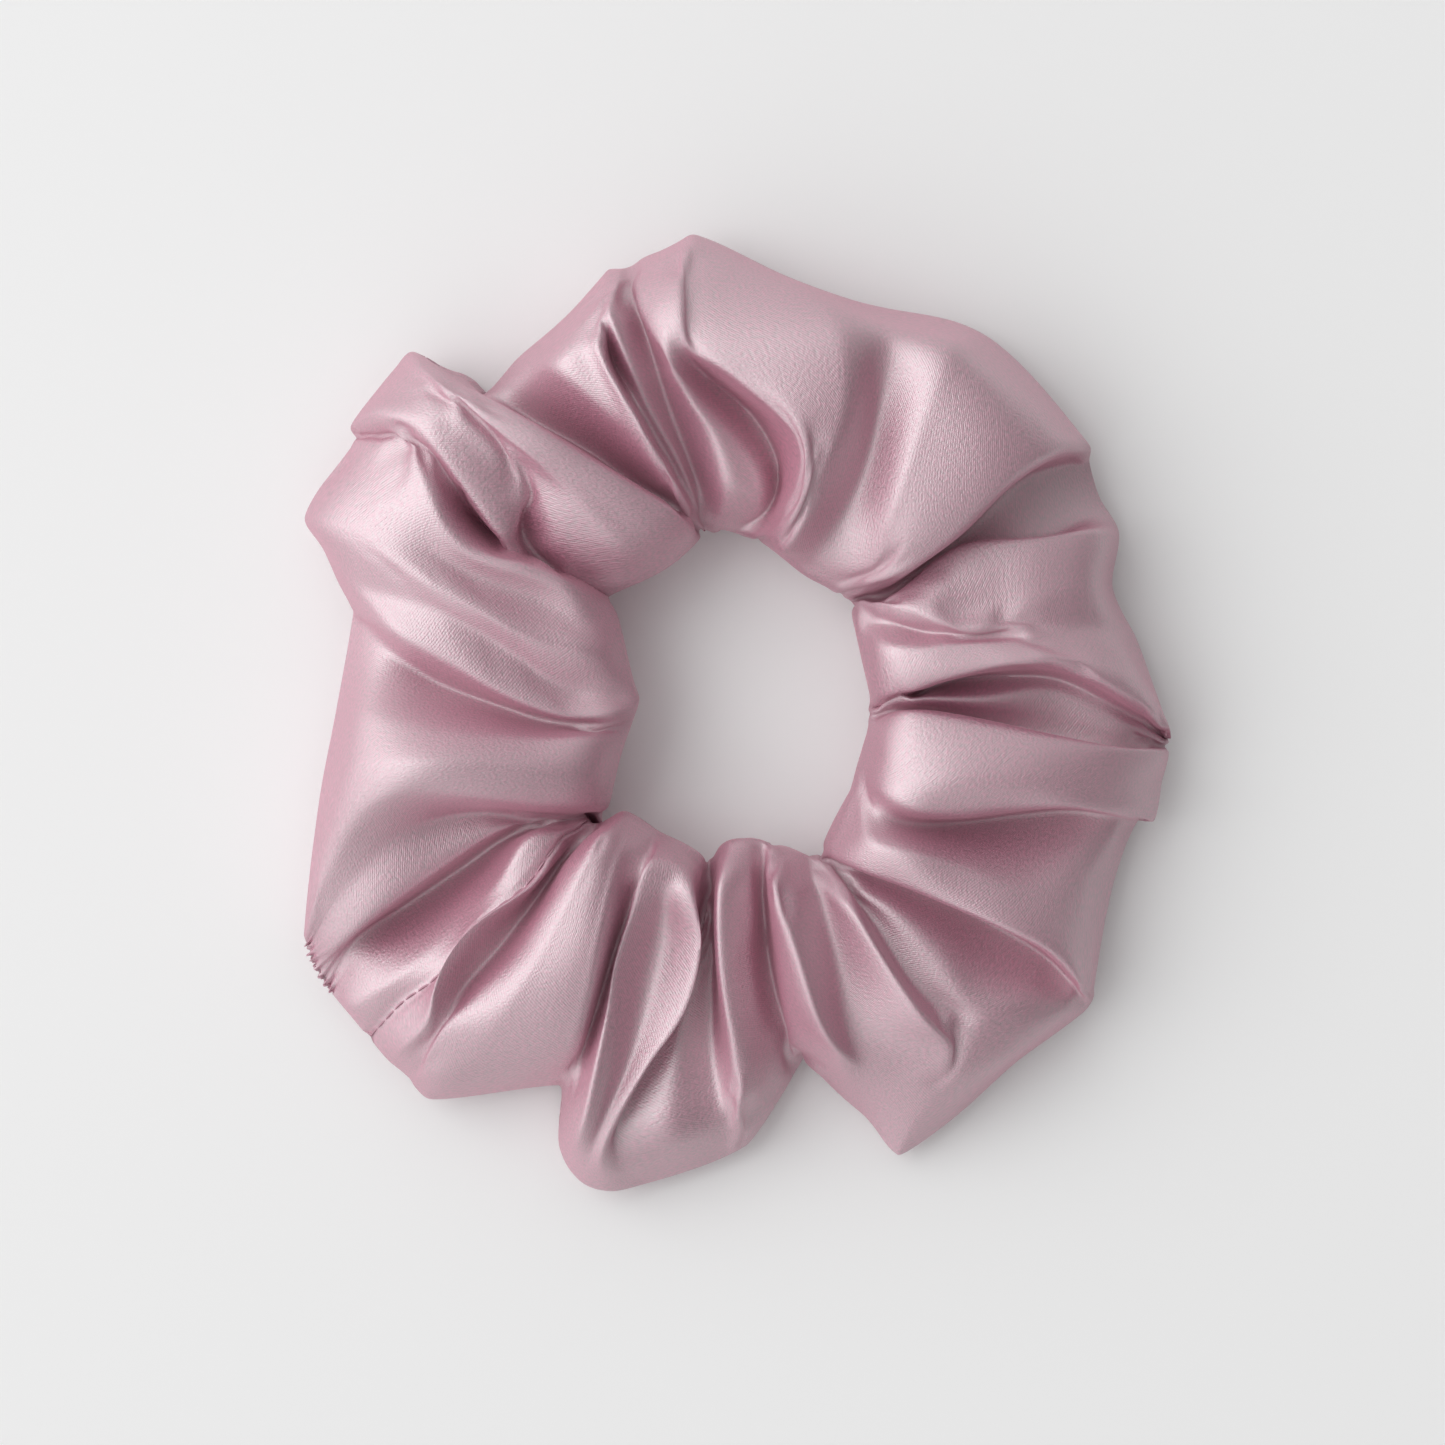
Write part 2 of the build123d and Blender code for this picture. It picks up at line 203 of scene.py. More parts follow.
    (TUCK, [(11, -19.5, 11), (16.5, -25.5, 14), (22.5, -35, 15.5), (27.5, -40.5, 15.5),
      (29.5, -43.5, 15.5), (34, -47, 12), (37, -47.5, 4)]),
    (PLEAT, [(11, -19.5, 12), (15, -25.5, 18), (21, -35, 20), (25, -40.5, 19.5), (28.5, -44.5, 16),
      (26, -51.5, 11), (22.5, -59.5, 4)]),
    (TUCK, [(9.5, -18.5, 11.5), (11, -24.5, 14), (13.5, -34.5, 15), (15, -42.5, 15), (16.5, -46.5, 14),
      (17.5, -54.5, 4)]),
    (PLEAT, [(6, -18, 13), (6, -23.5, 19), (8.5, -33, 21), (11, -41, 20), (13.5, -45.5, 16),
      (14, -51.5, 4)]),
    # The folded lobe at the bottom.
    (PLEAT, [(4.5, -17.5, 14), (4.5, -22.5, 18), (5.5, -31.5, 17), (6.5, -39.5, 14), (8, -45.5, 9),
      (9.5, -47, 4)]),
    (TUCK, [(4, -17, 11.5), (3.5, -22.5, 11.5), (4, -30.5, 9), (5.5, -38.5, 8.5), (7.5, -44.5, 8),
      (9, -46.5, 4)]),
    (TUCK, [(2, -16.5, 13), (2, -21, 15), (2.5, -27, 14.5), (2, -32, 14), (3, -39, 12.5), (5, -45.5, 9.5),
      (7, -50, 4)]),
    (PLEAT, [(-1.5, -16.5, 13), (-2.5, -22.5, 18), (-2.5, -30.5, 18), (-1.5, -38.5, 16.5), (0, -45, 15),
      (1, -51.5, 13), (2, -57.5, 5)]),
    # The lobe at lower left that ends furthest down.
    (TUCK, [(-3.5, -19.5, 9.5), (-3, -27.5, 9), (-3, -33, 9), (-3, -39.5, 9), (-3, -47.5, 10),
      (-2, -54, 10), (-1, -59.5, 4)]),
    (PLEAT, [(-3.5, -20, 9), (-5, -30.5, 9.5), (-7, -39.5, 10.5), (-8.5, -49, 12), (-9, -56, 12),
      (-6, -61.5, 4)]),
    (TUCK, [(-3.5, -20, 10), (-5.5, -27.5, 10), (-7.5, -34.5, 10), (-10, -42.5, 10.5), (-13.5, -49, 10.5),
      (-16, -55.5, 11), (-15.5, -60, 9.5), (-12, -63.3, 4)]),
    (PLEAT, [(-4, -19, 12), (-5.5, -23, 19), (-4.5, -30.5, 18), (-6.5, -39, 16.5), (-11.5, -46.5, 15),
      (-15.5, -53.5, 14), (-18, -59, 12), (-17, -64.3, 5)]),
    (TUCK, [(-6, -17.5, 12.5), (-7.5, -20.5, 18), (-9, -23, 18), (-10, -29, 14), (-12, -37, 13),
      (-14.5, -46.5, 13), (-18, -55, 13), (-21, -63, 5)]),
    (PLEAT, [(-9.5, -16, 12), (-11.5, -20, 19), (-13, -24.5, 19), (-16, -33, 17.5), (-17, -39.5, 17),
      (-19, -49, 16.5), (-21, -56, 13.5), (-23.8, -58.5, 5)]),
    (TUCK, [(-11, -15, 12.5), (-12.5, -20.5, 17), (-14, -25.5, 15), (-16.5, -33, 12), (-18.5, -39, 11.5),
      (-20.5, -45, 11), (-22.5, -49.5, 9.5), (-23.5, -51, 4)]),
    # The lobe on the right of the cross seam, with its pocket.
    (PLEAT, [(-13, -13.5, 13), (-15.5, -19.5, 19), (-17.5, -29, 21), (-19, -37, 19), (-21, -44.5, 15),
      (-23.5, -48.5, 9), (-24, -50, 5)]),
    (PLEAT, [(-15.5, -12.5, 12), (-18, -16, 19), (-21.5, -23, 21), (-26, -31.5, 20), (-31, -39.5, 18),
      (-35, -45.5, 14), (-41, -52, 5)]),
    (PLEAT, [(-17.5, -14, 11), (-21.5, -18.5, 16), (-25, -25, 18), (-29, -31.5, 17), (-34, -37, 16),
      (-38, -42, 15), (-43, -50.5, 5)]),
    (TUCK, [(-18, -14.5, 9), (-23.5, -20, 10), (-26.5, -24.5, 10.5), (-31.5, -31, 11), (-36, -36, 11.5),
      (-39, -40.5, 14), (-44, -49, 5)]),
    (PLEAT, [(-19.5, -14.5, 11), (-23.5, -18.5, 15), (-27.5, -23, 18), (-33, -26.5, 18.5),
      (-37.5, -31, 18), (-40, -36.5, 17), (-41, -40.5, 15.5), (-47, -46.5, 5)]),
]


def hermite(start, stop, leave, arrive, share):
    """The point at a share of the way along a cubic from start to stop that has those tangents."""
    square = share**2
    cube = share**3
    return (
        (2 * cube - 3 * square + 1) * start
        + (cube - 2 * square + share) * leave
        + (3 * square - 2 * cube) * stop
        + (cube - square) * arrive
    )


def lengths(line):
    """The length of a line of points up to each of them."""
    return np.append(0, np.cumsum(norm(np.diff(line, axis=0), axis=1)))


curve_samples = 400  # to measure its length


def smooth_line(points, spans):
    """spans + 1 points, evenly spaced along a smooth curve through the given points."""
    points = np.array(points, float)
    knots = np.append(0, np.cumsum(np.sqrt(norm(np.diff(points, axis=0), axis=1))))
    tangents = np.gradient(points, knots, axis=0)
    at = np.linspace(0, knots[-1], curve_samples)
    span = np.clip(np.searchsorted(knots, at, side="right") - 1, 0, len(knots) - 2)
    gap = (knots[span + 1] - knots[span])[:, None]
    share = (at - knots[span])[:, None] / gap
    leave = gap * tangents[span]
    arrive = gap * tangents[span + 1]
    curve = hermite(points[span], points[span + 1], leave, arrive, share)
    length = lengths(curve)
    stops = np.linspace(0, length[-1], spans + 1)
    return np.stack([np.interp(stops, length, curve[:, axis]) for axis in range(3)], axis=1)


shoulder_reach = 5.5  # a last stretch longer than this gets a shoulder, which rounds the outer edge
shoulder_inset = 3.0  # from the line's end
shoulder_rise = 0.55  # as a share of the last stretch's climb


def top_line(points):
    """A fold line over the top of the tube, with a rounded shoulder unless its end lies flat."""
    points = [np.array(point, float) for point in points]
    climb = points[-2] - points[-1]
    reach = math.hypot(climb[0], climb[1])
    if points[-1][2] > elastic_base and reach > shoulder_reach:
        shoulder = points[-1] + climb * shoulder_inset / reach
        shoulder[2] = points[-1][2] + shoulder_rise * climb[2]
        points.insert(-1, shoulder)
    return smooth_line(points, top_rows)


under_high = 9.0  # how far a pleat's underside stands off the table
under_low = 0.7  # and a tuck's
least_height = 0.4
least_tube = 2.0  # height left inside the tube where a tuck presses it flat
tuck_reach = 2.5  # how far beside a tuck the underside is pressed down by it
skipped_at_hole = 3  # points at a fold line's sloping ends, which don't limit the underside
skipped_at_edge = 4
edge_share = 0.1  # places on the underside, as shares of the way from the outer edge to the hole
rising_share = 0.3
risen_share = 0.6
edge_height = 1.6
rising_height = 0.8  # as a share of the full rise
foot_height = 2.4  # of the underside's last point before the hole
foot_offset = 1.2  # the least and the most that this point lies outside the hole
foot_reach = 4.0
foot_clearance = 1.4  # and how far it stays inside the elastic


def under_line(kind, top):
    """The same fold on the underside, from the outer edge back to the hole."""
    outer = top[-1]
    hole = top[0]
    high = under_high if kind == PLEAT else under_low
    high = min(high, top[skipped_at_hole:-skipped_at_edge, 2].min() - least_tube)
    rise = max(0.0, high - under_low)
    across = hole - outer
    away = hole[:2] - elastic_centre
    hole_radius = norm(away)
    foot_radius = min(elastic_radius - foot_clearance, hole_radius + foot_reach)
    foot_radius = max(hole_radius + foot_offset, foot_radius)
    foot = elastic_centre + away / hole_radius * foot_radius

    def at(share, height):
        return np.array([*(outer[:2] + across[:2] * share), height])

    return smooth_line(
        [
            outer,
            at(edge_share, edge_height),
            at(rising_share, under_low + rising_height * rise),
            at(risen_share, under_low + rise),
            np.array([*foot, foot_height]),
            hole,
        ],
        under_rows,
    )


fold_crease = 0.3  # how sharply the cloth is creased along the fold lines, 0 to 1
taut_rows = 8  # towards the long seam the cloth loses its spare length over this many rows
least_gap = 0.01  # between two fold lines that meet


def draw_net():
    """The drawn cover: its columns of points round the tube, and how far along the cut each one is."""
    lines = []
    for kind, points in folds:
        top = top_line(points)
        lines.append(np.concatenate([top, under_line(kind, top)[1:-1]]))
    lines = np.array(lines)
    following = np.roll(lines, -1, axis=0)
    spans = following - np.roll(lines, 1, axis=0)
    gaps = np.maximum(norm(following - lines, axis=2, keepdims=True), least_gap)
    widths = np.maximum(np.percentile(gaps[:, : top_rows + 1, 0], ease_percentile, axis=1), least_width)

    # Directions along the ring at each line, for cloth with its full width and for cloth drawn taut
    full = spans / (widths + np.roll(widths, 1))[:, None, None]
    taut = spans / (gaps + np.roll(gaps, 1, axis=0))
    from_seam = np.abs(np.arange(lines.shape[1]) - top_rows)
    tautness = np.clip(1 - from_seam / taut_rows, 0, 1)[:, None]

    starts = np.append(0, np.cumsum(widths))
    columns = []
    along = []
    for number, width in enumerate(widths):
        after = (number + 1) % len(lines)
        steps = max(1, round(width / column_pitch))
        chord = following[number] - lines[number]
        leave, arrive = [
            (width * full[end] * (1 - fold_crease) + chord * fold_crease) * (1 - tautness)
            + gaps[number] * taut[end] * tautness
            for end in (number, after)
        ]
        for step in range(steps):
            columns.append(hermite(lines[number], lines[after], leave, arrive, step / steps))
            along.append(starts[number] + width * step / steps)
    net = np.array(columns)
    net[..., 2] = np.maximum(net[..., 2], least_height)
    return net, np.array(along), starts[-1]


def around_cut():
    """How far each row of the net is round the tube from the hole, along the cut."""
    over = np.linspace(0, top_width, top_rows + 1)
    back = top_width + np.linspace(0, under_width, under_rows + 1)
    return np.concatenate([over, back[1:-1]])


def keep_under_top(net):
    """Presses the underside down wherever the top lies low over it."""
    over = net[:, : top_rows + 1].reshape(-1, 3)
    kept = net.copy()
    for row in range(top_rows + 1, net.shape[1]):
        beside = norm(net[:, row, None, :2] - over[None, :, :2], axis=2)
        lowest = np.where(beside < tuck_reach, over[:, 2], np.inf).min(axis=1)
        kept[:, row, 2] = np.minimum(net[:, row, 2], np.maximum(lowest - least_tube, least_height))
    return kept


hole_rows = 5  # the gathers are evened out over this many rows round the hole
hole_passes = 4


def calm_hole(net):
    """Evens out the small gathers round the hole, which are finer than the cloth's net."""
    even = net
    for _ in range(hole_passes):
        even = (np.roll(even, 1, axis=0) + 2 * even + np.roll(even, -1, axis=0)) / 4
    row = np.arange(net.shape[1])
    share = np.clip(1 - np.minimum(row, net.shape[1] - row) / hole_rows, 0, 1)[:, None]
    return net + (even - net) * share


inner_fade = 1.3  # the cloth inside the elastic's ring is pressed less and less over this distance


def eased(share):
    """A share from 0 to 1 that starts and stops gently."""
    return share**2 * (3 - 2 * share)


def keep_off_elastic(net):
    """Lifts the cloth over the elastic and presses what is beneath it down, so that they stay clear."""
    out = norm(net[..., :2] - elastic_centre, axis=2) - elastic_radius
    reach = elastic_thickness / 2 + elastic_room
    nearness = eased(np.clip(2 - np.abs(out) / reach, 0, 1))
    height = net[..., 2]
    is_top = np.zeros(net.shape[:2], bool)
    is_top[:, : top_rows + 1] = True
    lift = np.maximum(0, elastic_top + elastic_room - height) * nearness
    press = np.maximum(0, height - elastic_base + elastic_room) * nearness
    press *= np.clip(1 + (out + elastic_thickness / 2) / inner_fade, 0, 1)
    kept = net.copy()
    kept[..., 2] = np.where(is_top, height + lift, height - press)
    return kept


# Simulation: it runs at ten times life size, because Blender's cloth has a least thickness
sim_scale = 0.01  # simulated metres for each millimetre
sim_frames = 30
wall_offset = 0.9  # of each wall of the flattened tube from its middle, in the rest shape
top_hold = 0.6  # how firmly the cloth holds its drawn place, from 0 to 1
under_hold = 0.3
hole_hold = 0.9
seam_hold = 1.0
table_reach = 3.0  # of the simulated table, in simulated metres
table_contact = 0.004  # distances that the cloth keeps from the table and itself, in simulated metres
self_contact = 0.005
satin_cloth = {
    "quality": 5,
    "mass": 0.15,
    "air_damping": 3,
    "bending_model": "ANGULAR",
    "tension_stiffness": 15,
    "compression_stiffness": 15,
    "shear_stiffness": 6,
    "bending_stiffness": 0.8,
    "tension_damping": 8,
    "compression_damping": 8,
    "shear_damping": 8,
    "bending_damping": 0.5,
    "pin_stiffness": 1.0,
    "use_pressure": True,
    "uniform_pressure_force": 0.1,
}
gravity_share = 0.3
self_friction = 2


def cut_tube(along, length):
    """The cover as it was sewn, before it is gathered: a ring-shaped tube pressed flat."""
    ring = length / (2 * math.pi)
    around = around_cut()
    height = (top_width + under_width) / 2
    climb = np.where(
        around <= top_width,
        around * height / top_width,
        height - (around - top_width) * height / under_width,
    )
    radius = np.where(around <= top_width, ring + wall_offset, ring - wall_offset)
    turn = (along / ring)[:, None]
    heights = np.broadcast_to(climb, (len(along), len(climb)))
    return np.stack([radius * np.cos(turn), radius * np.sin(turn), heights], axis=2)


def net_mesh(name, net, scale, closed_round=True):
    """A mesh of quads on a net of columns that is closed along the ring."""
    columns, rows = net.shape[:2]
    column, row = np.meshgrid(
        np.arange(columns), np.arange(rows if closed_round else rows - 1), indexing="ij"
    )
    after = (column + 1) % columns * rows
    above = (row + 1) % rows
    quads = np.stack([column * rows + row, after + row, after + above, column * rows + above], axis=2)
    mesh = bpy.data.meshes.new(name)
    mesh.from_pydata((net * scale).reshape(-1, 3).tolist(), [], quads.reshape(-1, 4).tolist())
    mesh.update()
    return mesh


def square_mesh(name, reach):
    """A level square that reaches that far from the origin each way."""
    mesh = bpy.data.meshes.new(name)
    corners = [(-reach, -reach, 0), (reach, -reach, 0), (reach, reach, 0), (-reach, reach, 0)]
    mesh.from_pydata(corners, [], [(0, 1, 2, 3)])
    return mesh


def add_object(name, data):
    """A new object in the scene that shows the mesh, curve, light or camera."""
    made = bpy.data.objects.new(name, data)
    bpy.context.scene.collection.objects.link(made)
    return made


def settle(net, along, length):
    """Lets the drawn cover settle as cloth, and returns its net."""
    cloth = add_object("settling_cloth", net_mesh("settling_cloth", net, sim_scale))
    cloth.shape_key_add(name="drawn")
    rest = cloth.shape_key_add(name="cut")
    rest.data.foreach_set("co", (cut_tube(along, length) * sim_scale).astype(np.float32).ravel())
    rest.value = 0

    columns, rows = net.shape[:2]
    hold = np.full(rows, top_hold)
    hold[top_rows + 1 :] = under_hold
    hold[0] = hole_hold
    hold[top_rows] = seam_hold
    group = cloth.vertex_groups.new(name="hold")
    for row in range(rows):
        group.add([column * rows + row for column in range(columns)], hold[row], "REPLACE")

    table = add_object("settling_table", square_mesh("settling_table", table_reach))
    table.modifiers.new("collision", "COLLISION")
    table.collision.thickness_outer = table_contact

    modifier = cloth.modifiers.new("cloth", "CLOTH")
    satin = modifier.settings
    for name, value in satin_cloth.items():
        setattr(satin, name, value)
    satin.vertex_group_mass = "hold"
    satin.rest_shape_key = rest
    satin.effector_weights.gravity = gravity_share
    contact = modifier.collision_settings
    contact.distance_min = table_contact
    contact.use_self_collision = True
    contact.self_distance_min = self_contact
    contact.self_friction = self_friction

    scene = bpy.context.scene
    scene.frame_start = 1
    scene.frame_end = sim_frames
    modifier.point_cache.frame_end = sim_frames
    for number in range(1, sim_frames + 1):
        scene.frame_set(number)
    settled = cloth.evaluated_get(bpy.context.evaluated_depsgraph_get())
    places = np.empty(columns * rows * 3, np.float32)
    settled.data.vertices.foreach_get("co", places)
    scene.frame_set(1)
    for helper in (cloth, table):
        data = helper.data
        bpy.data.objects.remove(helper)
        bpy.data.meshes.remove(data)
    return places.reshape(columns, rows, 3).astype(float) / sim_scale


crispness = 0.5  # of the finished folds: 0 rounds them off, 1 goes through every simulated point


def spline_weights(share):
    """The weights of four points in a row for the point of a smooth curve at that share."""
    square = share**2
    cube = share**3
    rounded = np.array(
        [(1 - share) ** 3, 3 * cube - 6 * square + 4, -3 * cube + 3 * square + 3 * share + 1, cube]
    )
    through = [2 * square - cube - share, 2 - 5 * square + 3 * cube]
    through = np.array([*through, share + 4 * square - 3 * cube, cube - square])
    return rounded / 6 * (1 - crispness) + through / 2 * crispness


def refine_columns(net, steps):
    """Each column of a closed net turned into several, on a smooth curve along the ring."""
    finer = []
    for step in range(steps):
        weights = enumerate(spline_weights(step / steps))
        finer.append(sum(weight * np.roll(net, 1 - number, axis=0) for number, weight in weights))
    return np.stack(finer, axis=1).reshape(-1, *net.shape[1:])


def refine_rows(strip, steps):
    """Each row of an open strip turned into several, on a smooth curve that keeps both ends."""
    before = 2 * strip[:, :1] - strip[:, 1:2]
    after = 2 * strip[:, -1:] - strip[:, -2:-1]
    padded = np.concatenate([before, strip, after], axis=1)
    rows = strip.shape[1]
    finer = []
    for row in range(rows - 1):
        for step in range(steps):
            weights = enumerate(spline_weights(step / steps))
            finer.append(sum(weight * padded[:, row + number] for number, weight in weights))
    finer.append(strip[:, -1])
    return np.stack(finer, axis=1)


shortest = 1e-9  # a vector shorter than this has no direction


def unit(vectors):
    """The vectors' directions, each of length 1."""
    return vectors / np.maximum(norm(vectors, axis=-1, keepdims=True), shortest)


def outward(net):
    """Unit normals of a net that is closed along the ring, pointing out of the tube."""
    along = np.roll(net, -1, axis=0) - np.roll(net, 1, axis=0)
    around = np.gradient(net, axis=1)
    return unit(np.cross(along, around))


ditch_depth = 0.5  # of the cloth drawn in at the cross seam
ditch_width = 0.5
pucker_depth = 0.45  # of the cloth's edge where it was closed by hand
pucker_pitch = 1.7
pucker_reach = 2.2
open_rows = 34  # of the underside's finer rows, away from the hole: every other one is left out
allowance_steps = (2.3, 4.7, seam_allowance)  # where the seam allowance has its rows of points
ply_share = 0.08  # how far apart the allowance's plies lie, as a share of the tube's height there
closing_start = (-54.2, -37.7)  # the ends of the gap that was closed by hand, on the outer edge
closing_stop = (-57.8, -31.0)


def nearest_column(strip, row, place):
    """The column whose point in that row is nearest to a place seen from above."""
    return int(np.argmin(norm(strip[:, row, :2] - np.array(place), axis=1)))


def finish_net(net, along, length):
    """The settled cover as a fine strip, with the place of its columns and rows on the cut.

    The rows run from the long seam under the tube to the hole, and over the top back to the seam.
    """
    strip = np.concatenate([net[:, top_rows:], net[:, : top_rows + 1]], axis=1)
    under = np.linspace(0, under_width, under_rows + 1)
    around = np.concatenate([under[:-1], under_width + np.linspace(0, top_width, top_rows + 1)])
    strip = refine_rows(strip, fine_rows)
    around = np.interp(np.arange(strip.shape[1]) / fine_rows, np.arange(len(around)), around)
    kept = np.append(np.arange(0, open_rows, 2), np.arange(open_rows, strip.shape[1]))
    strip = refine_columns(strip[:, kept], fine_columns)
    along = np.interp(np.arange(len(strip)) / fine_columns, np.arange(len(along) + 1), [*along, length])
    return strip, along, around[kept]


def sew(strip, along, around, length):
    """Draws the cloth in at the cross seam, and puckers its edge where the gap was closed by hand."""
    normal = outward(strip)
    from_seam = np.minimum(along, length - along)
    ditch = ditch_depth * np.exp(-((from_seam / ditch_width) ** 2))
    first = nearest_column(strip, -1, closing_start)
    last = nearest_column(strip, -1, closing_stop)
    closed = np.zeros(len(strip))
    closed[first:last] = 1
    from_edge = np.minimum(around, around[-1] - around)
    pucker = np.sin(2 * math.pi * along / pucker_pitch) * pucker_depth * closed
    pucker = pucker[:, None] * np.exp(-from_edge / pucker_reach)
    return strip - normal * (ditch[:, None] + pucker)[..., None]


def across(strip, around, distance):
    """The line along the strip at that distance from its first edge."""
    row = np.interp(distance, around, np.arange(len(around)))
    low = min(int(row), len(around) - 2)
    return strip[:, low] + (strip[:, low + 1] - strip[:, low]) * (row - low)


def turn_in_edges(strip, around):
    """Adds the seam allowances: both cut edges turned in along the long seam, one on the other."""
    lower = []
    upper = []
    for distance in allowance_steps:
        below = across(strip, around, distance)
        above = across(strip, around, around[-1] - distance)
        apart = (above - below) * ply_share / 2
        lower.insert(0, (above + below) / 2 - apart)
        upper.append((above + below) / 2 + apart)
    steps = np.array(allowance_steps)
    strip = np.concatenate([np.stack(lower, 1), strip, np.stack(upper, 1)], axis=1)
    return strip, np.concatenate([-steps[::-1], around, around[-1] + steps])


cover_sharp_angle = 70  # degrees between faces, from which an edge is sharp


def make_cover(strip, along, around, length):
    """The cover's mesh, with its place on the cut as its UV map, in metres."""
    mesh = net_mesh("satin_cover_cloth", strip, MM, closed_round=False)
    left = along[:, None]
    right = np.append(along[1:], length)[:, None]
    low = around[:-1]
    high = around[1:]
    quad = ((left, low), (right, low), (right, high), (left, high))
    corners = np.stack([np.stack(np.broadcast_arrays(*corner), axis=2) for corner in quad], axis=2)
    mesh.uv_layers.new(name="cut").data.foreach_set("uv", (corners * MM).astype(np.float32).ravel())
    mesh.shade_smooth()
    mesh.set_sharp_from_angle(angle=math.radians(cover_sharp_angle))
    return add_object("satin_cover_cloth", mesh)


def point_on(line, places, at, period=None):
    """Points of a line at distances along it."""
    return np.stack([np.interp(at, places, line[:, axis], period=period) for axis in range(3)], axis=1)


# One stitch: how far along it its points are, and how high over the cloth
stitch_shares = (0, 0.12, 0.5, 0.88, 1)
stitch_heights = (-0.25, 0.05, 0.12, 0.05, -0.25)


def stitches(line, lift, places, length, period=None):
    """Floats of thread one after the other along a line on cloth, each going in at both ends."""
    count = int(length / stitch_length)
    pitch = length / count
    rise = np.array(stitch_heights)
    shares = np.array(stitch_shares) * (1 - stitch_gap / pitch)
    runs = []
    for number in range(count):
        at = (number + shares) * pitch
        runs.append(
            point_on(line, places, at, period) + point_on(lift, places, at, period) * rise[:, None]
        )
    return runs


def make_thread(name, runs, radius=thread_radius):
    """A piece of round thread through each run of points."""
    curve = bpy.data.curves.new(name, "CURVE")
    curve.dimensions = "3D"
    curve.bevel_depth = radius * MM
    curve.bevel_resolution = 1
    curve.resolution_u = 3
    curve.use_fill_caps = True
    for run in runs:
        spline = curve.splines.new("NURBS")
        spline.points.add(len(run) - 1)
        places = np.append(np.array(run) * MM, np.ones((len(run), 1)), axis=1)
        spline.points.foreach_set("co", places.astype(np.float32).ravel())
        spline.order_u = 3
        spline.use_endpoint_u = True
    helper = add_object(name, curve)
    mesh = bpy.data.meshes.new_from_object(helper.evaluated_get(bpy.context.evaluated_depsgraph_get()))
    bpy.data.objects.remove(helper)
    mesh.name = name
    mesh.shade_smooth()
    return add_object(name, mesh)


seam_share = 0.4  # how far into the first step of the allowance the long seam's stitches lie


def make_long_seam(strip, along, length):
    """The lockstitch along the long seam: one thread on each side of the turned-in edges."""
    count = len(allowance_steps)
    edge = strip[:, -1 - count]
    plies = {"needle": strip[:, -count], "bobbin": strip[:, count - 1]}
    up = unit(plies["needle"] - plies["bobbin"])
    pieces = []
    for side, ply in plies.items():
        lift = up if side == "needle" else -up
        line = edge + (ply - edge) * seam_share + lift * thread_radius
        runs = stitches(line, lift, along, length, period=length)
        pieces.append(make_thread(f"long_seam_{side}_stitches", runs))
    return pieces


def make_cross_seam(strip):
    """The lockstitch of the cross seam: one thread in the ditch outside and one inside the tube."""
    count = len(allowance_steps)
    normal = outward(strip)[0, count:-count]
    line = strip[0, count:-count]
    places = lengths(line)
    outside = stitches(line + normal * thread_radius, normal, places, places[-1])
    inner = line - normal * (cloth_thickness + thread_radius)
    inside = stitches(inner, -normal, places, places[-1])
    return [
        make_thread("cross_seam_needle_stitches", outside),
        make_thread("cross_seam_bobbin_stitches", inside),
    ]


overcast_pitch = 1.1
overcast_radius = 0.32
overcast_inset = 0.2
overcast_thread_radius = 0.1
overcast_points = 10  # for each turn
overcast_unevenness = 0.22  # of the turns' spacing, which comes and goes along the seam
overcast_beat = 2.3


def make_closing_seam(strip):
    """The thread whipped by hand round the outer edge, where the cover was turned right side out."""
    row = strip.shape[1] - 1 - len(allowance_steps)
    first = nearest_column(strip, row, closing_start)
    last = nearest_column(strip, row, closing_stop)
    edge = strip[first : last + 1, row]
    inward = unit(-edge * np.array([1, 1, 0]))
    places = lengths(edge)
    turns = int(places[-1] / overcast_pitch)
    winding = np.linspace(0, turns, turns * overcast_points + 1)
    unevenness = overcast_unevenness * np.sin(winding * overcast_beat)
    uneven = winding + unevenness * np.sin(winding * math.pi / turns)
    centre = point_on(edge + inward * overcast_inset, places, uneven / turns * places[-1])
    side = point_on(inward, places, uneven / turns * places[-1])
    turn = 2 * math.pi * winding[:, None]
    path = centre + (side * np.cos(turn) + np.array([0, 0, 1]) * np.sin(turn)) * overcast_radius
    return make_thread("closing_seam_stitches", [path], overcast_thread_radius)


def elastic_line(at):
    """Points and outward directions along the elastic's middle, and its length up to each.

    One end lies on the other for the length of the lap.
    """
    lap_turn = math.degrees(lap_length / elastic_radius)
    ramp_turn = math.degrees(lap_ramp / elastic_radius)
    turned = at * (360 + lap_turn)
    step = np.clip((turned - 360 + ramp_turn) / ramp_turn, 0, 1)
    radius = elastic_radius + (elastic_thickness + ply_gap) * eased(step)
    angle = np.radians(lap_middle - lap_turn / 2 + turned)
    out = np.stack([np.cos(angle), np.sin(angle), np.zeros_like(angle)], axis=1)
    points = np.append(elastic_centre, 0) + out * radius[:, None]
    return points, out, np.radians(turned) * elastic_radius


elastic_spans = 180  # along its length
elastic_sharp_angle = 60  # degrees
elastic_ribs = 6
rib_points = 5  # across each rib
rib_depth = 0.15  # as a share of the elastic's thickness
elastic_edge = 0.3  # rounding of its edges
least_rounding = 0.05


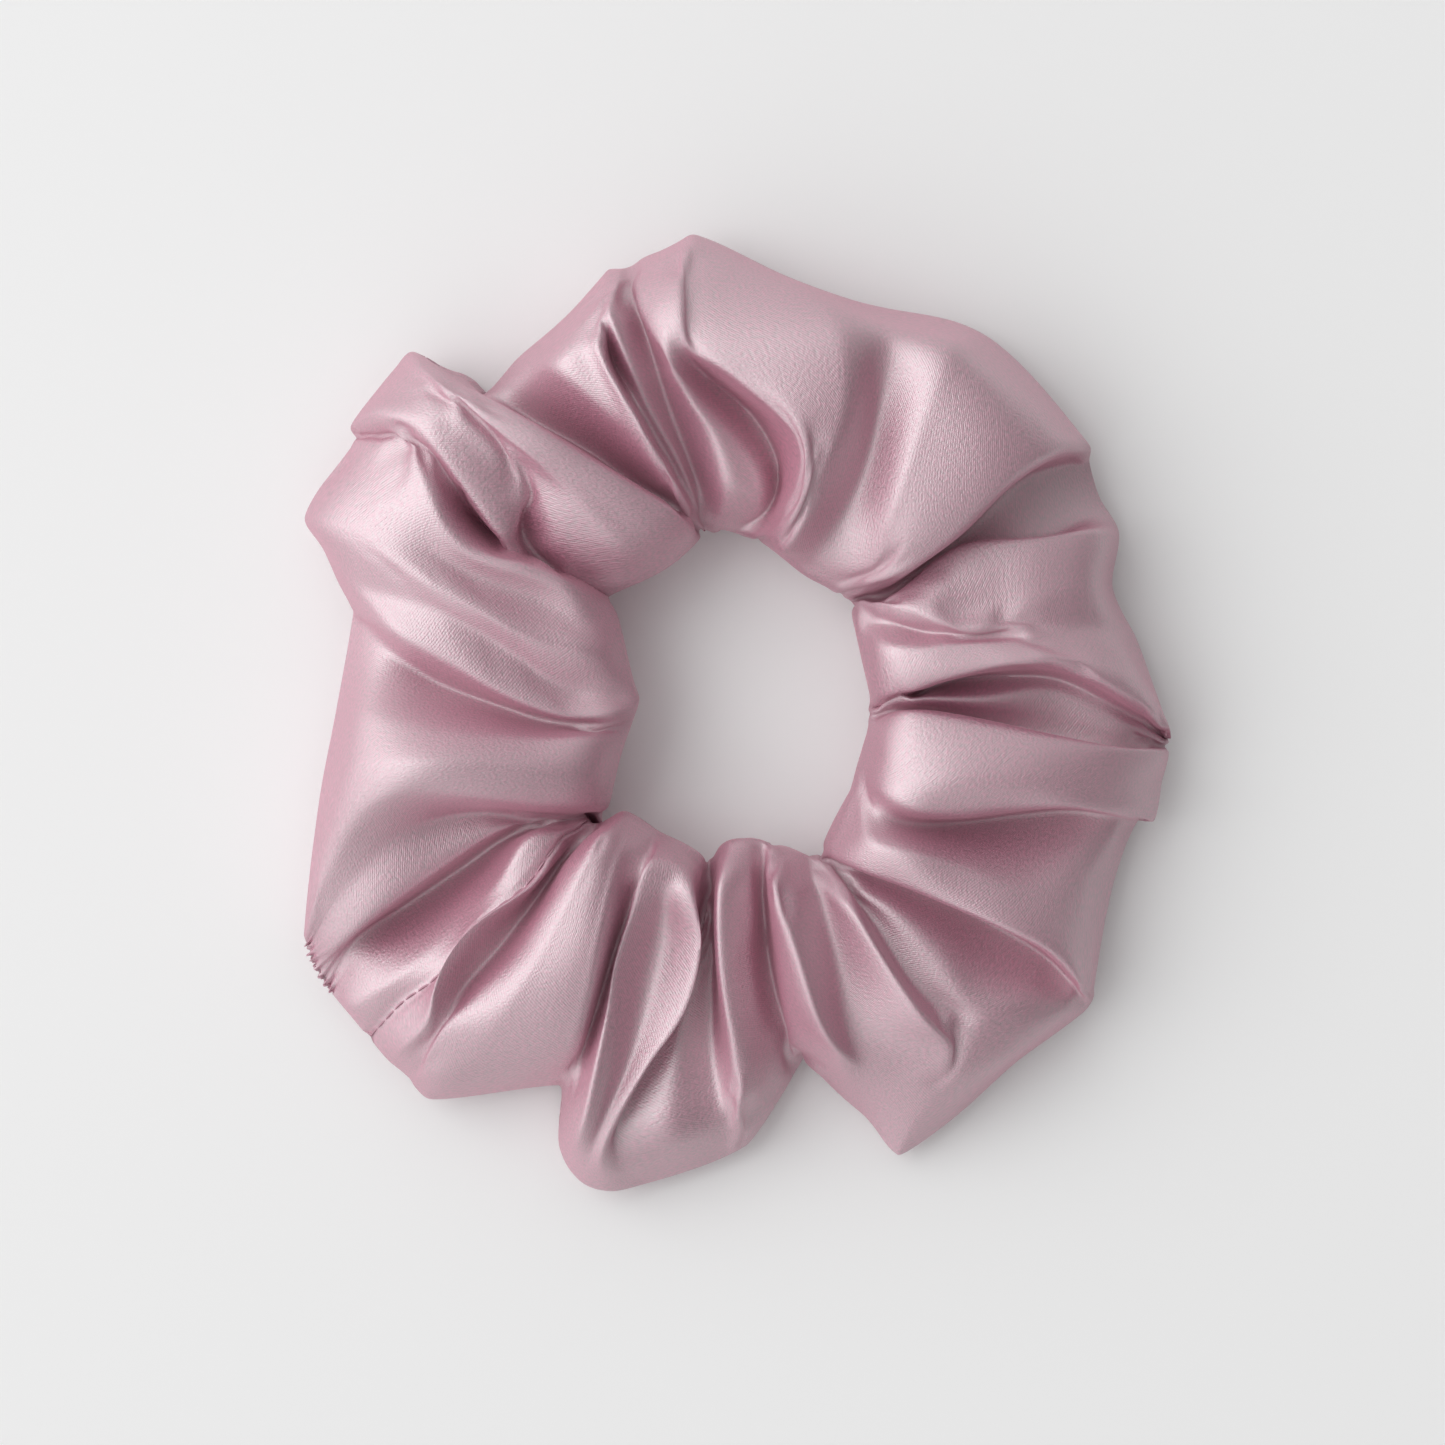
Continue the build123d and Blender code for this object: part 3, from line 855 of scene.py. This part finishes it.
def elastic_section():
    """The elastic's cross-section: (outward, up) points round a flat band of parallel cords."""
    share = np.linspace(0, 1, elastic_ribs * rib_points + 1)
    width = elastic_top - elastic_base
    rib = 1 - rib_depth + rib_depth * np.abs(np.sin(math.pi * elastic_ribs * share))
    from_edge = np.clip(np.minimum(share, 1 - share) * width / elastic_edge, 0, 1)
    rounding = np.sqrt(np.clip(1 - (1 - from_edge) ** 2, least_rounding, 1))
    half = elastic_thickness / 2 * rib * rounding
    height = elastic_base + share * width
    front = np.stack([half, height], axis=1)
    back = np.stack([-half, height], axis=1)[::-1]
    return np.concatenate([front, back])


def make_elastic():
    """The flat braided elastic inside the cover."""
    section = elastic_section()
    points, out, length = elastic_line(np.linspace(0, 1, elastic_spans + 1))
    rings = points[:, None] + out[:, None] * section[None, :, :1]
    rings = rings + np.array([0, 0, 1.0]) * section[None, :, 1:]
    count = len(section)
    faces = []
    for span in range(elastic_spans):
        for corner in range(count):
            after = (corner + 1) % count
            here = span * count
            there = here + count
            faces.append((here + corner, there + corner, there + after, here + after))
    last = elastic_spans * count
    faces.append(tuple(range(count)))
    faces.append(tuple(reversed(range(last, last + count))))
    mesh = bpy.data.meshes.new("braided_elastic")
    mesh.from_pydata((rings * MM).reshape(-1, 3).tolist(), [], faces)
    around = lengths(section)
    uv = mesh.uv_layers.new(name="length")
    for loop in mesh.loops:
        place = (length[loop.vertex_index // count], around[loop.vertex_index % count])
        uv.data[loop.index].uv = np.array(place) * MM
    mesh.shade_smooth()
    mesh.set_sharp_from_angle(angle=math.radians(elastic_sharp_angle))
    return add_object("braided_elastic", mesh)


zigzag_steps = 11
zigzag_margin = 0.8  # from the elastic's edges
zigzag_share = 0.8  # of the lap's length
zigzag_dip = 0.4  # how far the thread goes into the elastic where it turns
zigzag_turn = 0.006  # and over how many radians either side


def make_elastic_join():
    """The zigzag that holds the elastic's ends on each other: one thread on each face of the lap."""
    lap_turn = math.degrees(lap_length / elastic_radius)
    span = zigzag_share * lap_turn
    inner_face = elastic_radius - elastic_thickness / 2 - thread_radius
    outer_face = elastic_radius + elastic_thickness * 1.5 + ply_gap + thread_radius
    pieces = []
    for side, radius, dip in (("needle", outer_face, -zigzag_dip), ("bobbin", inner_face, zigzag_dip)):
        path = []
        for step in range(zigzag_steps + 1):
            angle = math.radians(lap_middle - span / 2 + span * step / zigzag_steps)
            height = elastic_top - zigzag_margin if step % 2 else elastic_base + zigzag_margin
            for turn, reach in ((-zigzag_turn, 0), (0, dip), (zigzag_turn, 0)):
                out = np.array([math.cos(angle + turn), math.sin(angle + turn)]) * (radius + reach)
                path.append([*(elastic_centre + out), height])
        pieces.append(make_thread(f"elastic_join_{side}_zigzag", [path]))
    return pieces


def new_material(name, color, roughness):
    """A material, its node tree and its shader."""
    material = bpy.data.materials.new(name)
    material.use_nodes = True
    tree = material.node_tree
    shader = tree.nodes["Principled BSDF"]
    shader.inputs["Base Color"].default_value = (*color, 1)
    shader.inputs["Roughness"].default_value = roughness
    return material, tree, shader


def add_node(tree, kind, inputs=None, **settings):
    """A shader node with its settings, and its inputs set to a value or joined to another socket."""
    node = tree.nodes.new("ShaderNode" + kind)
    for name, value in settings.items():
        setattr(node, name, value)
    for name, value in (inputs or {}).items():
        if isinstance(value, bpy.types.NodeSocket):
            tree.links.new(value, node.inputs[name])
        else:
            node.inputs[name].default_value = value
    return node


def between(tree, factor, low, high, base=0.0):
    """A number that goes from low to high while the factor goes from base to base + 1."""
    limits = {"From Min": base, "From Max": base + 1, "To Min": low, "To Max": high}
    return add_node(tree, "MapRange", {"Value": factor, **limits}).outputs["Result"]


def noise(tree, place, scale, detail):
    """A cloudy pattern, with that many clouds to the metre."""
    inputs = {"Vector": place, "Scale": scale, "Detail": detail}
    return add_node(tree, "TexNoise", inputs).outputs["Fac"]


def diagonal_bands(tree, place, pitch, axes, unevenness):
    """A diagonal wave that repeats at that pitch, over places with two or three axes.

    Blender's own wave repeats every pi / (5 * sqrt(axes) * scale).
    """
    scale = math.pi / (5 * math.sqrt(axes) * pitch * MM)
    inputs = {"Vector": place, "Scale": scale, **unevenness}
    wave = add_node(tree, "TexWave", inputs, bands_direction="DIAGONAL")
    return wave.outputs["Fac"]


def bump(tree, pattern, relief, normal=None):
    """The surface's direction with a pattern raised on it, by a height and a strength."""
    height, strength = relief
    inputs = {"Height": pattern, "Distance": height * MM, "Strength": strength}
    if normal:
        inputs["Normal"] = normal
    return add_node(tree, "Bump", inputs).outputs["Normal"]


satin_color = (0.375, 0.074, 0.16)
satin_roughness = (0.38, 0.64)
satin_shine = {
    "IOR": 2.8,
    "Specular IOR Level": 1.0,
    "Sheen Weight": 0.4,
    "Sheen Roughness": 0.4,
    "Sheen Tint": (1, 0.5, 0.62, 1),
}
twill_pitch = 0.27
twill_relief = (0.04, 0.4)  # height and strength, as for the other patterns
grain_size = 0.4
grain_relief = (0.1, 0.9)
slub_size = 6
tone_spread = 0.5  # how much darker and lighter than its colour the cloth can be
slub_tone = 0.06  # and how far each pattern takes it there
grain_tone = 1.0
twill_tone = 0.12


def satin_material():
    """Satin: a soft sheen over a fine grain and a diagonal weave."""
    material, tree, shader = new_material("satin", satin_color, 0.5)
    for name, value in satin_shine.items():
        shader.inputs[name].default_value = value
    cut = add_node(tree, "UVMap", uv_map="cut").outputs["UV"]
    unevenness = {"Distortion": 1.5, "Detail": 1.0, "Detail Scale": 0.4}
    twill = diagonal_bands(tree, cut, twill_pitch, 2, unevenness)
    grain = noise(tree, cut, 1 / (grain_size * MM), 3.0)
    slubs = noise(tree, cut, 1 / (slub_size * MM), 2.0)
    tree.links.new(between(tree, grain, *satin_roughness), shader.inputs["Roughness"])

    # The dye is a little uneven, and the yarns catch it differently from one to the next
    tone = between(tree, slubs, -slub_tone, slub_tone)
    for pattern, depth in ((grain, grain_tone), (twill, twill_tone)):
        part = between(tree, pattern, -depth, depth)
        tone = add_node(tree, "Math", {0: tone, 1: part}, operation="ADD").outputs["Value"]
    share = between(tree, tone, 0.0, 1.0, -0.5)
    tones = add_node(tree, "Mix", {"Factor": share}, data_type="RGBA")
    for end, level in (("A", 1 - tone_spread), ("B", 1 + tone_spread)):
        tones.inputs[end].default_value = (*[level * part for part in satin_color], 1)
    tree.links.new(tones.outputs["Result"], shader.inputs["Base Color"])

    normal = bump(tree, grain, grain_relief)
    tree.links.new(bump(tree, twill, twill_relief, normal), shader.inputs["Normal"])
    return material


elastic_color = (0.80, 0.78, 0.74)
elastic_roughness = (0.65, 0.9)
yarn_pitch = 0.45
yarn_relief = (0.12, 0.6)
elastic_fuzz = 0.3
elastic_fuzz_relief = (0.05, 0.4)


def elastic_material():
    """White elastic: cords side by side, each wrapped in crossing yarns."""
    material, tree, shader = new_material("white_elastic", elastic_color, 0.75)
    place = add_node(tree, "UVMap", uv_map="length").outputs["UV"]
    yarns = diagonal_bands(tree, place, yarn_pitch, 2, {"Distortion": 0.6})
    fuzz = noise(tree, place, 1 / (elastic_fuzz * MM), 3.0)
    tree.links.new(between(tree, fuzz, *elastic_roughness), shader.inputs["Roughness"])
    normal = bump(tree, fuzz, elastic_fuzz_relief)
    tree.links.new(bump(tree, yarns, yarn_relief, normal), shader.inputs["Normal"])
    return material


thread_color = (0.50, 0.29, 0.35)
thread_roughness = (0.5, 0.75)
twist_pitch = 0.2
twist_relief = (0.03, 0.6)
thread_fuzz = 0.1


def thread_material():
    """Spun polyester thread, dyed to the satin, with its twist and a little fuzz."""
    material, tree, shader = new_material("thread", thread_color, 0.6)
    place = add_node(tree, "TexCoord").outputs["Object"]
    twist = diagonal_bands(tree, place, twist_pitch, 3, {"Distortion": 1.0})
    fuzz = noise(tree, place, 1 / (thread_fuzz * MM), 2.0)
    tree.links.new(between(tree, fuzz, *thread_roughness), shader.inputs["Roughness"])
    tree.links.new(bump(tree, twist, twist_relief), shader.inputs["Normal"])
    return material


def attach(piece, material, slot, *nodes):
    """Gives a piece its material, and puts it in the place of its CAD nodes."""
    piece.data.materials.clear()
    piece.data.materials.append(material)
    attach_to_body(piece, "root")
    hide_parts(*nodes)


floor_reach = 1.5  # the stage's own sizes are in metres
floor_color = (0.94, 0.94, 0.94)
fibre_scale = 900.0
fibre_relief = (0.02, 0.1)


def add_floor():
    """A plain pale floor of smooth paper."""
    mesh = square_mesh("floor", floor_reach)
    material, tree, shader = new_material("pale_paper", floor_color, 0.9)
    place = add_node(tree, "TexCoord").outputs["Object"]
    fibres = noise(tree, place, fibre_scale, 3.0)
    tree.links.new(bump(tree, fibres, fibre_relief), shader.inputs["Normal"])
    mesh.materials.append(material)
    add_object("floor", mesh)


key_place = (-0.75, 0.25, 0.75)
key_size = 1.0
key_energy = 4
studio_side = (-0.7, 0.1, 0)  # where the studio is brighter
studio_slant = 1.25
studio_strength = 1.0
studio_levels = [(0, 0.5), (0.35, 0.8), (0.62, 0.9), (0.85, 0.55), (1, 0.4)]  # (height, brightness)


def add_lights():
    """One large soft light from the left, and a studio that is brighter there and half-way up."""
    light = bpy.data.lights.new("key", "AREA")
    light.size = key_size
    light.energy = key_energy
    key = add_object("key", light)
    key.location = key_place
    key.rotation_euler = (-key.location).to_track_quat("-Z", "Y").to_euler()

    world = bpy.data.worlds.new("studio")
    bpy.context.scene.world = world
    world.use_nodes = True
    tree = world.node_tree
    direction = add_node(tree, "TexCoord").outputs["Generated"]
    axes = add_node(tree, "SeparateXYZ", {"Vector": direction}).outputs
    ramp = add_node(tree, "ValToRGB", {"Fac": axes["Z"]})
    ramp.color_ramp.interpolation = "EASE"
    while len(ramp.color_ramp.elements) < len(studio_levels):
        ramp.color_ramp.elements.new(0.5)
    for element, (height, level) in zip(ramp.color_ramp.elements, studio_levels):
        element.position = height
        element.color = (level, level, level, 1)
    sides = {0: direction, 1: studio_side}
    slant = add_node(tree, "VectorMath", sides, operation="DOT_PRODUCT").outputs["Value"]
    levels = {0: slant, 1: studio_slant, 2: studio_strength}
    strength = add_node(tree, "Math", levels, operation="MULTIPLY_ADD")
    background = tree.nodes["Background"]
    tree.links.new(ramp.outputs["Color"], background.inputs["Color"])
    tree.links.new(strength.outputs["Value"], background.inputs["Strength"])


camera_lens = 112
camera_place = (-0.00187, -0.00133, 0.608)


def add_camera():
    """A camera straight above."""
    camera = bpy.data.cameras.new("camera")
    camera.lens = camera_lens
    made = add_object("camera", camera)
    made.location = camera_place
    bpy.context.scene.camera = made
    bpy.context.scene.view_settings.view_transform = "Standard"


def main():
    """Builds the stage and every piece."""
    add_camera()
    add_floor()
    add_lights()
    net, along, length = draw_net()
    net = keep_off_elastic(keep_under_top(net))
    net = settle(net, along, length)
    net = keep_off_elastic(keep_under_top(calm_hole(net)))
    strip, fine_along, around = finish_net(net, along, length)
    strip = sew(strip, fine_along, around, length)
    strip, around = turn_in_edges(strip, around)
    strip[..., 2] -= strip[..., 2].min()

    satin = satin_material()
    thread = thread_material()
    cover = make_cover(strip, fine_along, around, length)
    attach(cover, satin, "satin", "satin_cover")
    elastic = make_elastic()
    attach(elastic, elastic_material(), "elastic", "elastic_band")
    for piece in make_long_seam(strip, fine_along, length) + make_cross_seam(strip):
        attach(piece, thread, "thread", piece.name.replace("_stitches", "_thread"))
    attach(make_closing_seam(strip), thread, "thread", "closing_seam_thread")
    for piece in make_elastic_join():
        attach(piece, thread, "thread", piece.name.replace("_zigzag", "_thread"))


main()
